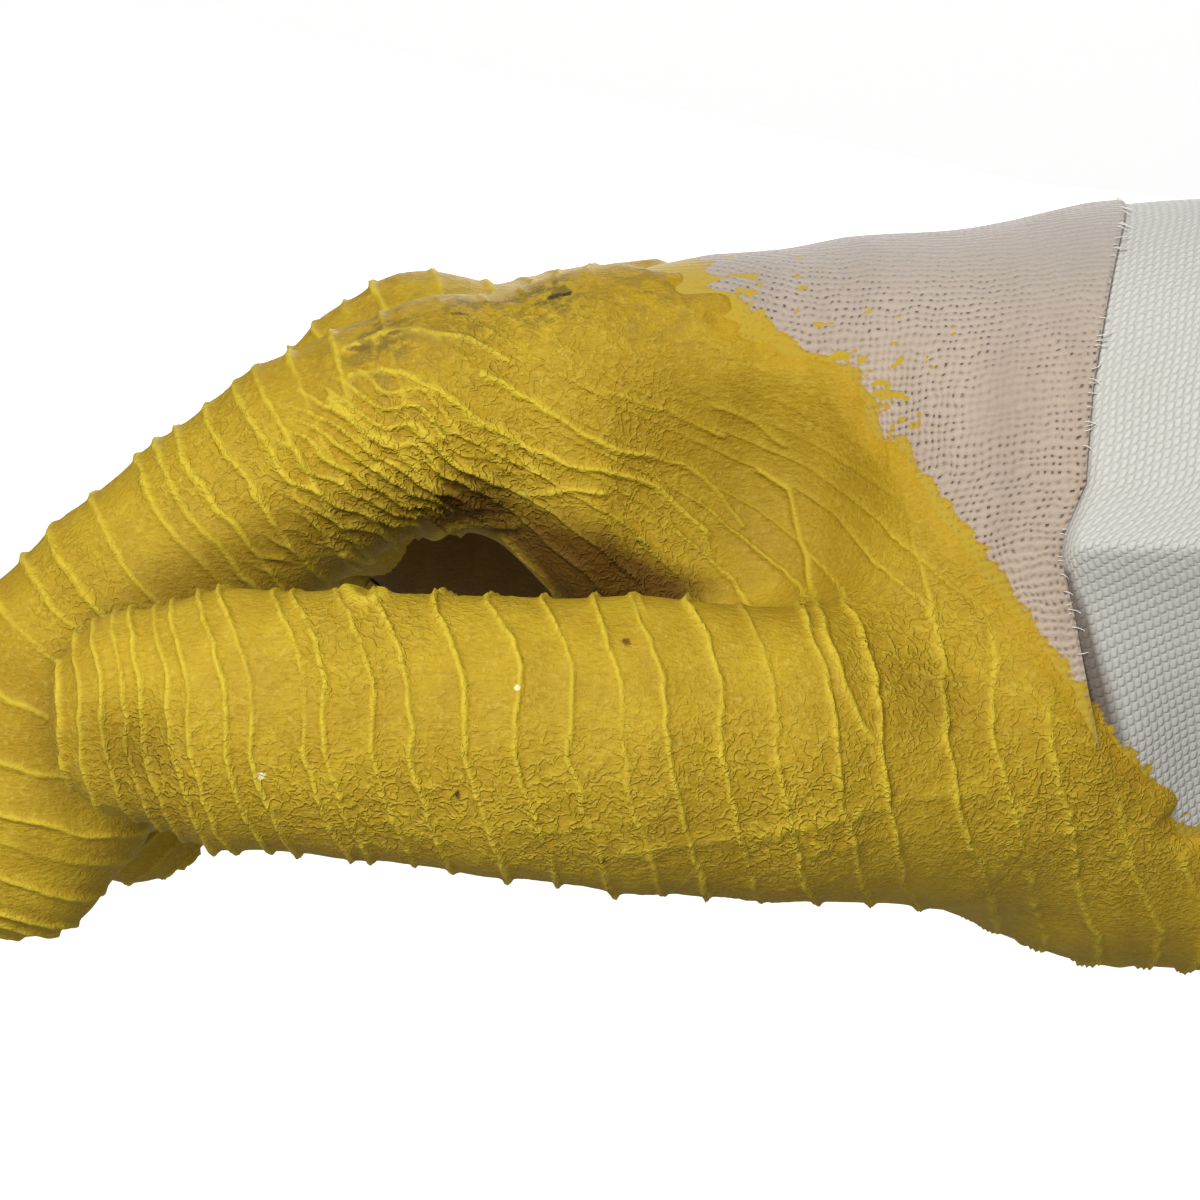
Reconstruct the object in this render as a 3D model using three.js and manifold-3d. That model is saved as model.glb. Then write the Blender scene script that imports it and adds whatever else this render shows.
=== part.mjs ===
// Latex-coated work glove for the right hand, shown as it is worn, in a relaxed grip.
// A knitted jersey glove is dipped in natural rubber up to a slanting line, and a canvas cuff
// is sewn to its wrist. Millimetres, +Z up at the back of the hand, fingers towards -X, thumb
// towards -Y. The origin is the middle of the cuff's mouth, where the hand goes in.
import * as THREE from "three";
import { mergeVertices } from "three/addons/utils/BufferGeometryUtils.js";
import Module from "manifold-3d";

const wasm = await Module();
wasm.setup();

// Thickness of the layers, and how far each lies under the outer face of the coating.
const GAP = 0.3;
const COATING = 1.2;
const JERSEY = 1.1;
const CANVAS = 1.3;
const JERSEY_TOP = COATING + GAP;
const JERSEY_BACK = JERSEY_TOP + JERSEY;

// The seam between jersey and canvas and the mouth of the cuff are planes leaning along Y:
// x = at + lean * y.
const SEAM = { at: -62.5, lean: 0.2 };
const MOUTH = { at: 0, lean: 0.1 };
const TUCK = 8;
const CUFF_TOP = JERSEY_TOP + 0.7;
const CUFF_TUCKED = JERSEY_BACK + 1.1;

// The dip line: latex covers what lies below both of these planes, x = at + perZ * z.
const DIP_LINES = [
  { at: -73.3, perZ: -0.75 },
  { at: -47, perZ: -1.62 },
];

// Sections across each form. x, y, z is the middle, tall the half size seen from the thumb
// side, deep the half size along Y. blend is how softly the form runs into the one before it.
const TRUNK = [
  {
    name: "wrist",
    blend: 6,
    rows: [
      { x: -76, y: 2, z: 1.5, tall: 41.2, deep: 35 },
      { x: -63, y: 0, z: 1, tall: 45.9, deep: 36 },
      { x: -49.5, y: 0, z: 0.5, tall: 48, deep: 37 },
      { x: -33, y: 0, z: 0, tall: 48.5, deep: 37.5 },
      { x: 13, y: 0, z: -0.5, tall: 48.5, deep: 38 },
    ],
  },
  {
    name: "palm",
    blend: 14,
    rows: [
      { x: -140, y: 32, z: 23.5, tall: 12.3, deep: 38 },
      { x: -124, y: 32, z: 22, tall: 15, deep: 42 },
      { x: -105.5, y: 29, z: 17.5, tall: 19.4, deep: 44 },
      { x: -89, y: 22, z: 11, tall: 26.2, deep: 41 },
      { x: -76, y: 10, z: 6, tall: 36, deep: 38 },
    ],
  },
  {
    name: "heel",
    blend: 13,
    rows: [
      { x: -143, y: 53.5, z: 6, tall: 15.5, deep: 17.5 },
      { x: -124, y: 53.5, z: 3, tall: 17.5, deep: 20.5 },
      { x: -108, y: 52.5, z: 1.5, tall: 19.5, deep: 21 },
      { x: -90, y: 41, z: 0, tall: 24, deep: 24 },
    ],
  },
  {
    name: "index_side",
    blend: 10,
    rows: [
      { x: -140, y: -7, z: 22, tall: 13.4, deep: 12.5 },
      { x: -124, y: -6, z: 20.5, tall: 18, deep: 13 },
      { x: -109.5, y: -3, z: 20.5, tall: 20, deep: 15 },
      { x: -94.5, y: 1, z: 19.5, tall: 23, deep: 20 },
    ],
  },
  {
    name: "web",
    blend: 9,
    rows: [
      { x: -123, y: -11, z: 9.5, tall: 11, deep: 7 },
      { x: -113, y: -9, z: 8, tall: 14, deep: 9 },
      { x: -102, y: -6, z: 6.5, tall: 18, deep: 12 },
      { x: -89, y: 0, z: 3, tall: 24, deep: 20 },
    ],
  },
];

const DIGITS = [
  {
    name: "thumb",
    blend: 9,
    rows: [
      { x: -84.5, y: -19, z: -16, tall: 20, deep: 20 },
      { x: -103, y: -30, z: -14.5, tall: 18.5, deep: 17 },
      { x: -119.5, y: -35, z: -13.5, tall: 17.4, deep: 15 },
      { x: -135.5, y: -37, z: -12.5, tall: 16.1, deep: 13.5 },
      { x: -152.5, y: -37, z: -11, tall: 15.4, deep: 13 },
      { x: -166.5, y: -36, z: -10.5, tall: 15.2, deep: 12.5 },
      { x: -177, y: -35, z: -10, tall: 12.4, deep: 10.5 },
    ],
  },
  {
    name: "index",
    blend: 6,
    rows: [
      { x: -144.5, y: -7, z: 22.5, tall: 12.8, deep: 12.5 },
      { x: -151, y: -7, z: 20, tall: 13.2, deep: 12.5 },
      { x: -159, y: -7, z: 16, tall: 13.6, deep: 12.3 },
      { x: -170, y: -7, z: 8, tall: 13.4, deep: 12 },
      { x: -181, y: -7, z: -1, tall: 13.5, deep: 12 },
      { x: -188.5, y: -7, z: -8.5, tall: 13.8, deep: 12 },
      { x: -192, y: -7, z: -15.5, tall: 14.2, deep: 12 },
      { x: -193, y: -7, z: -25, tall: 14.3, deep: 12 },
      { x: -196.5, y: -7, z: -32, tall: 12.6, deep: 10.8 },
    ],
  },
  {
    name: "middle",
    blend: 6,
    rows: [
      { x: -146, y: 18, z: 26, tall: 12.8, deep: 11.5 },
      { x: -151.5, y: 18, z: 22.5, tall: 12.6, deep: 11.5 },
      { x: -162.5, y: 18.5, z: 12, tall: 12.6, deep: 11.3 },
      { x: -178.5, y: 19, z: -3, tall: 12.6, deep: 11.3 },
      { x: -189, y: 19, z: -13, tall: 12.6, deep: 11.3 },
      { x: -192, y: 19, z: -25.5, tall: 12.3, deep: 11 },
      { x: -184, y: 19, z: -31, tall: 11.5, deep: 10 },
    ],
  },
  {
    name: "ring",
    blend: 6,
    rows: [
      { x: -145.5, y: 42, z: 21.5, tall: 12.5, deep: 11 },
      { x: -162, y: 42.5, z: 8.5, tall: 12.5, deep: 10.8 },
      { x: -185.5, y: 43, z: -10.5, tall: 12.3, deep: 10.8 },
      { x: -185.5, y: 43, z: -22.5, tall: 11.8, deep: 10.5 },
      { x: -176.5, y: 42, z: -27.5, tall: 11, deep: 9.5 },
    ],
  },
  {
    name: "little",
    blend: 6,
    rows: [
      { x: -135, y: 63, z: 14.5, tall: 11.5, deep: 10 },
      { x: -142.5, y: 65, z: 13.5, tall: 11.5, deep: 10 },
      { x: -156.5, y: 66, z: 2, tall: 11, deep: 9.6 },
      { x: -174, y: 67, z: -12.5, tall: 10.6, deep: 9.4 },
      { x: -174, y: 67, z: -23, tall: 10.4, deep: 9.2 },
      { x: -167, y: 66, z: -27.5, tall: 9.6, deep: 8.6 },
    ],
  },
];

// Round hollows pressed into the outside, such as the one between thumb and first finger.
const DENTS = [
  { x: -100, y: -18, z: 12.8, radius: 15, depth: 8 },
  { x: -112.7, y: -16, z: 15.2, radius: 11, depth: 3 },
  { x: -84.3, y: -37, z: -1.2, radius: 8, depth: 2.5 },
  { x: -177, y: -45, z: -12.3, radius: 5.5, depth: 1.3 },
];

// The middle line that the trunk's sections are worked out around.
const SPINE = [
  { x: 6, y: 0, z: 0 },
  { x: -33, y: 0, z: 0 },
  { x: -63, y: 0, z: 1 },
  { x: -76, y: 3, z: 3 },
  { x: -89, y: 8, z: 8 },
  { x: -105, y: 13, z: 13 },
  { x: -124, y: 18, z: 17 },
  { x: -138, y: 22, z: 20 },
];

// Facets: sides round a digit, round the trunk, the spacing of rings and the rings of a tip.
const DIGIT_SIDES = 12;
const TRUNK_SIDES = 28;
const RING_SPACING = 9.5;
const TURN_SPREAD = 13;
const TIP_ANGLES = [30, 60];
const JOINT_BLEND = 1.2;
const TRUNK_JOINT_BLEND = 6;
const SINK_RATE = 0.3;
const SINK_MOST = 0.5;
const GROWN = 3.5;

// The cuff's profile: back is the distance from the mouth, or front the distance past the
// seam, and top how far its outer face lies under the coating's.
const CUFF = {
  sides: 32,
  rows: [
    { front: -TUCK, top: CUFF_TUCKED },
    { front: 0.5, top: CUFF_TUCKED },
    { front: 3, top: CUFF_TOP },
    { front: 16, top: CUFF_TOP },
    { front: 30, top: CUFF_TOP },
    { back: 18, top: CUFF_TOP },
    { back: 9, top: CUFF_TOP },
    { back: 8, top: CUFF_TOP - 0.6 },
    { back: 0, top: CUFF_TOP - 0.6 },
  ],
  // A sharp fold runs down each side of the cuff: its angle about X, height and width.
  folds: [
    { angle: 172, height: 3.4, width: 16 },
    { angle: 0, height: 3.4, width: 16 },
  ],
  foldStart: 6,
};

const smoothMin = (a, b, blend) => {
  const share = Math.max(blend - Math.abs(a - b), 0) / blend;
  return Math.min(a, b) - share * share * blend * 0.25;
};

// The frame of the stretch between two sections: along it, across its depth and its height.
function stretchOf(from, to) {
  const start = new THREE.Vector3(from.x, from.y, from.z);
  const along = new THREE.Vector3(to.x, to.y, to.z).sub(start);
  const length = along.length();
  along.normalize();
  const across = new THREE.Vector3(0, 1, 0).addScaledVector(along, -along.y).normalize();
  const up = new THREE.Vector3().crossVectors(along, across);
  return { from, to, start, length, along, across, up };
}

// Distance from a point to a stretch, whose section is an ellipse that tapers along it.
function stretchDistance(stretch, point) {
  const offset = new THREE.Vector3().subVectors(point, stretch.start);
  const along = offset.dot(stretch.along);
  const share = THREE.MathUtils.clamp(along / stretch.length, 0, 1);
  const past = along - share * stretch.length;
  const tall = THREE.MathUtils.lerp(stretch.from.tall, stretch.to.tall, share);
  const deep = THREE.MathUtils.lerp(stretch.from.deep, stretch.to.deep, share);
  const cap = Math.min(tall, deep);
  const h = offset.dot(stretch.up) / tall;
  const d = offset.dot(stretch.across) / deep;
  const e = past / cap;
  const size = Math.hypot(h, d, e);
  const slope = Math.hypot(h / tall, d / deep, e / cap);
  return (size * (size - 1)) / Math.max(slope, 1e-6);
}

const formOf = (form, jointBlend) => {
  const stretches = form.rows.slice(1).map((row, i) => stretchOf(form.rows[i], row));
  const distance = (point) =>
    stretches
      .map((stretch) => stretchDistance(stretch, point))
      .reduce((a, b) => smoothMin(a, b, jointBlend));
  return { ...form, distance };
};

const trunkForms = TRUNK.map((form) => formOf(form, TRUNK_JOINT_BLEND));
const digitForms = DIGITS.map((form) => formOf(form, JOINT_BLEND));

const trunkDistance = (point) => {
  let distance = trunkForms[0].distance(point);
  for (const form of trunkForms.slice(1)) {
    distance = smoothMin(distance, form.distance(point), form.blend);
  }
  return distance;
};

const dentDepth = (point) =>
  DENTS.reduce((sum, dent) => {
    const away = point.distanceToSquared(dent) / dent.radius ** 2;
    return sum + dent.depth * Math.exp(-away);
  }, 0);

// How far along a ray from inside the field first rises through the level.
function rayReach(field, centre, direction, level) {
  const at = (r) => field(centre.clone().addScaledVector(direction, r)) - level;
  const step = 1.5;
  let far = step;
  while (at(far) < 0) far += step;
  let near = far - step;
  for (let i = 0; i < 16; i += 1) {
    const middle = (near + far) / 2;
    if (at(middle) < 0) near = middle;
    else far = middle;
  }
  return near;
}

// The rings of a form: a place on its middle line and the directions of its rays.
function ringsOf(path, sides, tipAngles) {
  const curve = new THREE.CatmullRomCurve3(path.map((p) => new THREE.Vector3(p.x, p.y, p.z)));
  const count = Math.round(curve.getLength() / RING_SPACING);
  const spread = TURN_SPREAD / curve.getLength();
  const ringAt = (share, angle) => {
    const tilt = THREE.MathUtils.degToRad(angle);
    const centre = curve.getPointAt(share);
    const along = curve
      .getPointAt(Math.min(share + spread, 1))
      .sub(curve.getPointAt(Math.max(share - spread, 0)))
      .normalize();
    const across = new THREE.Vector3(0, 1, 0).addScaledVector(along, -along.y).normalize();
    const up = new THREE.Vector3().crossVectors(along, across);
    const directions = Array.from({ length: sides }, (_, i) => {
      const turn = (2 * Math.PI * i) / sides;
      return new THREE.Vector3()
        .addScaledVector(across, Math.cos(turn) * Math.cos(tilt))
        .addScaledVector(up, Math.sin(turn) * Math.cos(tilt))
        .addScaledVector(along, Math.sin(tilt));
    });
    return { centre, along, directions };
  };
  const rings = Array.from({ length: count + 1 }, (_, i) => ringAt(i / count, 0));
  for (const angle of tipAngles) rings.push(ringAt(1, angle));
  return { rings, tip: { centre: curve.getPointAt(1), direction: curve.getTangentAt(1) } };
}

// A closed solid from rings of points, with a point at each end. Each square of the guide's
// rings is split along its shorter diagonal, so that solids with one guide nest cleanly.
function solidOfRings(rings, firstPole, lastPole, guide = rings) {
  const sides = rings[0].length;
  const points = [firstPole, ...rings.flat(), lastPole];
  const last = points.length - 1;
  const index = [];
  const at = (ring, side) => 1 + ring * sides + (side % sides);
  for (let side = 0; side < sides; side += 1) {
    index.push(0, at(0, side + 1), at(0, side));
    for (let ring = 0; ring < rings.length - 1; ring += 1) {
      const [a, b] = [at(ring, side), at(ring, side + 1)];
      const [c, d] = [at(ring + 1, side + 1), at(ring + 1, side)];
      const next = (side + 1) % sides;
      const forward = guide[ring][side].distanceTo(guide[ring + 1][next]);
      const backward = guide[ring][next].distanceTo(guide[ring + 1][side]);
      if (forward < backward) {
        index.push(a, b, c, a, c, d);
      } else {
        index.push(a, b, d, b, c, d);
      }
    }
    index.push(last, at(rings.length - 1, side), at(rings.length - 1, side + 1));
  }
  return manifoldOf(points.flatMap((p) => [p.x, p.y, p.z]), index);
}

function manifoldOf(positions, index) {
  const solid = new wasm.Manifold(
    new wasm.Mesh({
      numProp: 3,
      vertProperties: new Float32Array(positions),
      triVerts: new Uint32Array(index),
    }),
  );
  if (solid.volume() > 0) return solid;
  const flipped = index.map((_, i) => index[3 * Math.floor(i / 3) + (2 - (i % 3))]);
  return new wasm.Manifold(
    new wasm.Mesh({
      numProp: 3,
      vertProperties: new Float32Array(positions),
      triVerts: new Uint32Array(flipped),
    }),
  );
}

// One form's solid at a depth under the outer face: the blended hand, cut off at the form
// grown a little, and sunk slightly where a neighbour is nearer, so that the two cross cleanly.
function formSolid(shape, depth) {
  const field = (point) => {
    const own = shape.own(point);
    const past = THREE.MathUtils.clamp(SINK_RATE * (own - shape.neighbour(point)), 0, SINK_MOST);
    return Math.max(shape.blended(point) + dentDepth(point) + past, own - GROWN);
  };
  const pointOn = (centre, direction) =>
    centre.clone().addScaledVector(direction, rayReach(field, centre, direction, -depth));
  const root = shape.rings[0].centre.clone().addScaledVector(shape.rings[0].along, depth);
  const rings = shape.rings.map((ring, i) =>
    ring.directions.map((direction) => pointOn(i === 0 ? root : ring.centre, direction)),
  );
  shape.guide ??= rings;
  const { centre, direction } = shape.tip;
  return solidOfRings(rings, root, pointOn(centre, direction), shape.guide);
}

const digitShapes = digitForms.map((form) => ({
  ...ringsOf(form.rows, DIGIT_SIDES, TIP_ANGLES),
  own: form.distance,
  neighbour: trunkDistance,
  blended: (point) => smoothMin(form.distance(point), trunkDistance(point), form.blend),
}));

const trunkShape = {
  ...ringsOf(SPINE, TRUNK_SIDES, TIP_ANGLES),
  own: trunkDistance,
  neighbour: (point) => Math.min(...digitForms.map((form) => form.distance(point))),
  blended: (point) => Math.min(...digitShapes.map((shape) => shape.blended(point))),
};

// The whole hand form at a depth under the outer face.
function handSolid(depth) {
  return digitShapes.reduce(
    (hand, shape) => hand.add(formSolid(shape, depth)),
    formSolid(trunkShape, depth),
  );
}

// Everything on one side of a leaning plane, as a large block.
function halfSpace(normal, at) {
  const size = 600;
  const block = new THREE.BoxGeometry(size, size, size);
  block.deleteAttribute("normal");
  block.deleteAttribute("uv");
  const merged = mergeVertices(block);
  const place = new THREE.Matrix4()
    .makeTranslation(at.x, at.y, at.z)
    .multiply(
      new THREE.Matrix4().makeRotationFromQuaternion(
        new THREE.Quaternion().setFromUnitVectors(new THREE.Vector3(1, 0, 0), normal),
      ),
    )
    .multiply(new THREE.Matrix4().makeTranslation(-size / 2, 0, 0));
  merged.applyMatrix4(place);
  return manifoldOf(Array.from(merged.attributes.position.array), Array.from(merged.index.array));
}

// Latex: the dipped skin, from the fingertips to the dip line.
function coatingSolid() {
  let coating = handSolid(0).subtract(handSolid(COATING));
  for (const line of DIP_LINES) {
    const normal = new THREE.Vector3(1, 0, -line.perZ).normalize();
    coating = coating.intersect(halfSpace(normal, new THREE.Vector3(line.at, 0, 0)));
  }
  return coating;
}

// Jersey: the knitted glove inside the coating, bare at the back and round the wrist.
function jerseySolid() {
  const normal = new THREE.Vector3(1, -SEAM.lean, 0).normalize();
  return handSolid(JERSEY_TOP)
    .subtract(handSolid(JERSEY_BACK))
    .intersect(halfSpace(normal, new THREE.Vector3(SEAM.at, 0, 0)));
}

// How far the cuff's fold stands out at an angle, in degrees about X.
function foldHeight(angle) {
  return CUFF.folds.reduce((sum, fold) => {
    const away = Math.abs(THREE.MathUtils.euclideanModulo(angle - fold.angle + 180, 360) - 180);
    return sum + fold.height * Math.exp(-away / fold.width);
  }, 0);
}

// Canvas: a tube whose front edge is tucked into the jersey and whose mouth has a flat hem.
function cuffSolid() {
  const turns = Array.from({ length: CUFF.sides }, (_, i) => (360 * i) / CUFF.sides);
  const angles = [...new Set([...turns, ...CUFF.folds.map((fold) => fold.angle)])].sort(
    (a, b) => a - b,
  );
  const ringAt = (row, thickness) => {
    const plane = row.back === undefined ? SEAM : MOUTH;
    const at = plane.at + (row.back === undefined ? row.front : -row.back);
    const fold = THREE.MathUtils.clamp((at - SEAM.at) / CUFF.foldStart, 0, 1);
    return angles.map((angle) => {
      const turn = THREE.MathUtils.degToRad(angle);
      const [y, z] = [Math.cos(turn), Math.sin(turn)];
      const direction = new THREE.Vector3(plane.lean * y, y, z);
      const centre = new THREE.Vector3(at, 0, 0);
      const reach = rayReach(trunkDistance, centre, direction, -(row.top + thickness));
      return centre.addScaledVector(direction, reach + fold * foldHeight(angle));
    });
  };
  const outer = CUFF.rows.map((row) => ringAt(row, 0));
  const inner = CUFF.rows.map((row) => ringAt(row, CANVAS)).reverse();
  const loop = [...outer, ...inner];
  const points = loop.flat();
  const sides = angles.length;
  const index = [];
  for (let ring = 0; ring < loop.length; ring += 1) {
    const next = (ring + 1) % loop.length;
    for (let side = 0; side < sides; side += 1) {
      const [a, b] = [ring * sides + side, ring * sides + ((side + 1) % sides)];
      const [c, d] = [next * sides + ((side + 1) % sides), next * sides + side];
      index.push(a, b, c, a, c, d);
    }
  }
  return manifoldOf(points.flatMap((p) => [p.x, p.y, p.z]), index);
}

function meshOf(name, solid, material) {
  const bodies = solid.decompose().sort((a, b) => b.volume() - a.volume());
  const { vertProperties, triVerts } = bodies[0].getMesh();
  const geometry = new THREE.BufferGeometry();
  geometry.setAttribute("position", new THREE.BufferAttribute(new Float32Array(vertProperties), 3));
  geometry.setIndex(new THREE.BufferAttribute(new Uint32Array(triVerts), 1));
  const mesh = new THREE.Mesh(geometry, material);
  mesh.name = name;
  return mesh;
}

const latex = new THREE.MeshStandardMaterial({ color: "#d4b524", roughness: 0.6, metalness: 0 });
const jersey = new THREE.MeshStandardMaterial({ color: "#d8c6b4", roughness: 0.95, metalness: 0 });
const canvas = new THREE.MeshStandardMaterial({ color: "#d2d1ca", roughness: 0.95, metalness: 0 });

const glove = new THREE.Group();
glove.add(meshOf("latex_coating", coatingSolid(), latex));
glove.add(meshOf("jersey_liner", jerseySolid(), jersey));
glove.add(meshOf("canvas_cuff", cuffSolid(), canvas));

export default glove;
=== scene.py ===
import bpy
import numpy as np
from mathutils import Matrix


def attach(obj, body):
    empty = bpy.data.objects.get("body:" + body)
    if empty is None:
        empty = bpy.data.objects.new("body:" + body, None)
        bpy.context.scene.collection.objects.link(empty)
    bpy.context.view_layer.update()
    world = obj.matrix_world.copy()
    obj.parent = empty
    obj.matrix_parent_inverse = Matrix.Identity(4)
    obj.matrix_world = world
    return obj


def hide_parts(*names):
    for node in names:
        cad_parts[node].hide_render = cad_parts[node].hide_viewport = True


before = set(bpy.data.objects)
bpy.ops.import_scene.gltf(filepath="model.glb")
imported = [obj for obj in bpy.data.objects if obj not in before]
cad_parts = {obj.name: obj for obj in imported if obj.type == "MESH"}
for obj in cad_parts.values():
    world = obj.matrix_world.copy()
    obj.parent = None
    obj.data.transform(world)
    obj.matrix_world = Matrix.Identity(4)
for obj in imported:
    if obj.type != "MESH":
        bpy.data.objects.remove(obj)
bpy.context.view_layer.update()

# The jersey glove. A thin cotton glove knitted in plain stitch, pink-beige and undyed, with its
# stitches running along the hand. It is the inside of the whole glove and shows bare on the back
# of the hand and round the wrist. Its shape is the hand's, from short tables of sections.

# Sections of the hand's forms in millimetres: x, y, z of the middle, half height, half depth.
WRIST = [
    (-76, 2, 1.5, 41.2, 35),
    (-63, 0, 1, 45.9, 36),
    (-49.5, 0, 0.5, 48, 37),
    (-33, 0, 0, 48.5, 37.5),
    (13, 0, -0.5, 48.5, 38),
]
PALM = [
    (-140, 32, 23.5, 12.3, 38),
    (-124, 32, 22, 15, 42),
    (-105.5, 29, 17.5, 19.4, 44),
    (-89, 22, 11, 26.2, 41),
    (-76, 10, 6, 36, 38),
]
HEEL = [
    (-145, 53.5, 6, 16.8, 17.5),
    (-124, 53.5, 3, 17.5, 20.5),
    (-108, 52.5, 1.5, 19.5, 21),
    (-90, 41, 0, 24, 24),
]
INDEX_SIDE = [
    (-140, -7, 22, 13.4, 12.5),
    (-124, -6, 20.5, 18, 13),
    (-109.5, -3, 20.5, 20, 15),
    (-94.5, 1, 19.5, 23, 20),
]
WEB = [
    (-123, -11, 9.5, 11, 7),
    (-113, -9, 8, 14, 9),
    (-102, -6, 6.5, 18, 12),
    (-89, 0, 3, 24, 20),
]
THUMB = [
    (-84.5, -19, -16, 20, 20),
    (-103, -30, -14.5, 18.5, 17),
    (-119.5, -35, -13.5, 17.4, 15),
    (-135.5, -37, -12.5, 16.1, 13.5),
    (-152.5, -37, -11, 15.4, 13),
    (-166.5, -36, -10.5, 15.2, 12.5),
    (-177, -35, -10, 12.4, 10.5),
]
INDEX = [
    (-144.5, -7, 22.5, 12.8, 12.5),
    (-151, -7, 20, 13.2, 12.5),
    (-159, -7, 16, 13.6, 12.3),
    (-170, -7, 8, 13.4, 12),
    (-181, -7, -1, 13.5, 12),
    (-188.5, -7, -8.5, 13.8, 12),
    (-192, -7, -15.5, 14.2, 12),
    (-193, -7, -25, 14.3, 12),
    (-196.5, -7, -32, 12.6, 10.8),
]
MIDDLE = [
    (-146, 18, 26, 12.8, 11.5),
    (-151.5, 18, 22.5, 12.6, 11.5),
    (-162.5, 18.5, 12, 12.6, 11.3),
    (-178.5, 19, -3, 12.6, 11.3),
    (-189, 19, -13, 12.6, 11.3),
    (-192, 19, -25.5, 12.3, 11),
    (-184, 19, -31, 11.5, 10),
]
RING = [
    (-145.5, 42, 21.5, 12.5, 11),
    (-162, 42.5, 8.5, 12.5, 10.8),
    (-185.5, 43, -10.5, 12.3, 10.8),
    (-185.5, 43, -22.5, 11.8, 10.5),
    (-176.5, 42, -27.5, 11, 9.5),
]
LITTLE = [
    (-135, 63, 14.5, 11.5, 10),
    (-142.5, 65, 13.5, 11.5, 10),
    (-156.5, 66, 2, 11, 9.6),
    (-174, 67, -12.5, 10.6, 9.4),
    (-174, 67, -23, 10.4, 9.2),
    (-167, 66, -27.5, 9.6, 8.6),
]
# The trunk's forms and the digits, each with the softness with which it runs into the rest.
TRUNK = [(WRIST, 6), (PALM, 14), (HEEL, 13), (INDEX_SIDE, 10), (WEB, 9)]
DIGITS = {
    "thumb": (THUMB, 9),
    "index": (INDEX, 6),
    "middle": (MIDDLE, 6),
    "ring": (RING, 6),
    "little": (LITTLE, 6),
}
# Hollows pressed into the form: x, y, z, radius, depth.
HOLLOWS = [
    (-100, -18, 12.8, 15, 8),
    (-112.7, -16, 15.2, 11, 3),
    (-84.3, -37, -1.2, 8, 2.5),
    (-177, -45, -12.3, 5.5, 1.8),
]
# The middle line that the trunk is worked out around: x, y, z and how much wider than tall.
SPINE = [
    (6, 0, 0, 0.8),
    (-33, 0, 0, 0.8),
    (-63, 0, 1, 0.8),
    (-76, 3, 3, 0.9),
    (-89, 8, 8, 1.2),
    (-105, 13, 13, 1.6),
    (-124, 18, 17, 2.1),
    (-138, 22, 20, 2.4),
]
# How deep the jersey's inner face lies under the outer form, and how far on each side the middle
# line's direction is taken from.
JERSEY_BACK = 2.6
TURN_SPREAD = 13
# The seam between jersey and cuff: where it crosses the X axis, and its lean along X with Y.
SEAM_AT, SEAM_LEAN = -62.5, 0.2
# How far the seam bows out of its plane at each height: z, shift along X in millimetres.
SEAM_BOW = [
    (-30, 6), (-13, 3.4), (-2.4, 0.8), (8.1, -1.6), (10.9, -1.3), (16.5, 0.9), (27, 1.2), (48, 3.4),
]  # fmt: skip


def ease(value, low, high):
    """0 below low, 1 above high, and an eased step between."""
    share = np.clip((value - low) / (high - low), 0, 1)
    return share * share * (3 - 2 * share)


def at_height(points, table):
    """A value at the height of points, from a table of heights and values."""
    heights, values = np.array(table).T
    return np.interp(points[..., 2], heights, values)


def bowed(points):
    """How far the seam is bowed along X at the height of points, fading out to the far side."""
    return at_height(points, SEAM_BOW) * ease(-points[..., 1], -20, 12)


def past_seam(points):
    """How far points lie past the seam, towards the cuff's mouth."""
    return points[..., 0] - SEAM_LEAN * points[..., 1] - SEAM_AT - bowed(points)


def soft_min(a, b, blend):
    """The smaller of two distances, less a quarter of the blend times the squared share by which
    they are nearer to each other than the blend, so that one form runs softly into the other."""
    share = np.maximum(blend - np.abs(a - b), 0) / blend
    return np.minimum(a, b) - share * share * blend * 0.25


def form_distance(points, sections, blend):
    """Distance of points to a chain of stretches between sections. On each stretch the section
    is an ellipse whose half sizes run evenly from one end to the other, and past an end the
    stretch closes as an ellipsoid. The distance is k (k - 1) / g, where k is the point's place
    in units of the half sizes and g the same place over the half sizes squared."""
    sections = np.array(sections, float)
    whole = None
    for start, end in zip(sections[:-1], sections[1:]):
        along = end[:3] - start[:3]
        length = np.linalg.norm(along)
        along = along / length
        across = np.array([0, 1, 0]) - along[1] * along
        across = across / np.linalg.norm(across)
        up = np.cross(along, across)
        offset = points - start[:3]
        run = offset @ along
        share = np.clip(run / length, 0, 1)
        tall = start[3] + share * (end[3] - start[3])
        deep = start[4] + share * (end[4] - start[4])
        cap = np.minimum(tall, deep)
        h = (offset @ up) / tall
        d = (offset @ across) / deep
        e = (run - share * length) / cap
        size = np.sqrt(h * h + d * d + e * e)
        slope = np.sqrt((h / tall) ** 2 + (d / deep) ** 2 + (e / cap) ** 2)
        distance = size * (size - 1) / np.maximum(slope, 1e-6)
        whole = distance if whole is None else soft_min(whole, distance, blend)
    return whole


def trunk_distance(points):
    """Distance to the wrist, palm, heel and web, each blended softly with those before it."""
    whole = form_distance(points, WRIST, 6)
    for sections, blend in TRUNK[1:]:
        whole = soft_min(whole, form_distance(points, sections, 6), blend)
    return whole


def near_spots(points, spots):
    """For each spot, given as x, y, z, radius, strength: strength exp(-(distance / radius)^2)."""
    spots = np.array(spots, float)
    away = ((points[..., None, :] - spots[:, :3]) ** 2).sum(-1) / spots[:, 3] ** 2
    return spots[:, 4] * np.exp(-away)


def hollow_depth(points):
    """How deep the form is pressed in by all its hollows together."""
    return near_spots(points, HOLLOWS).sum(-1)


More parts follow.
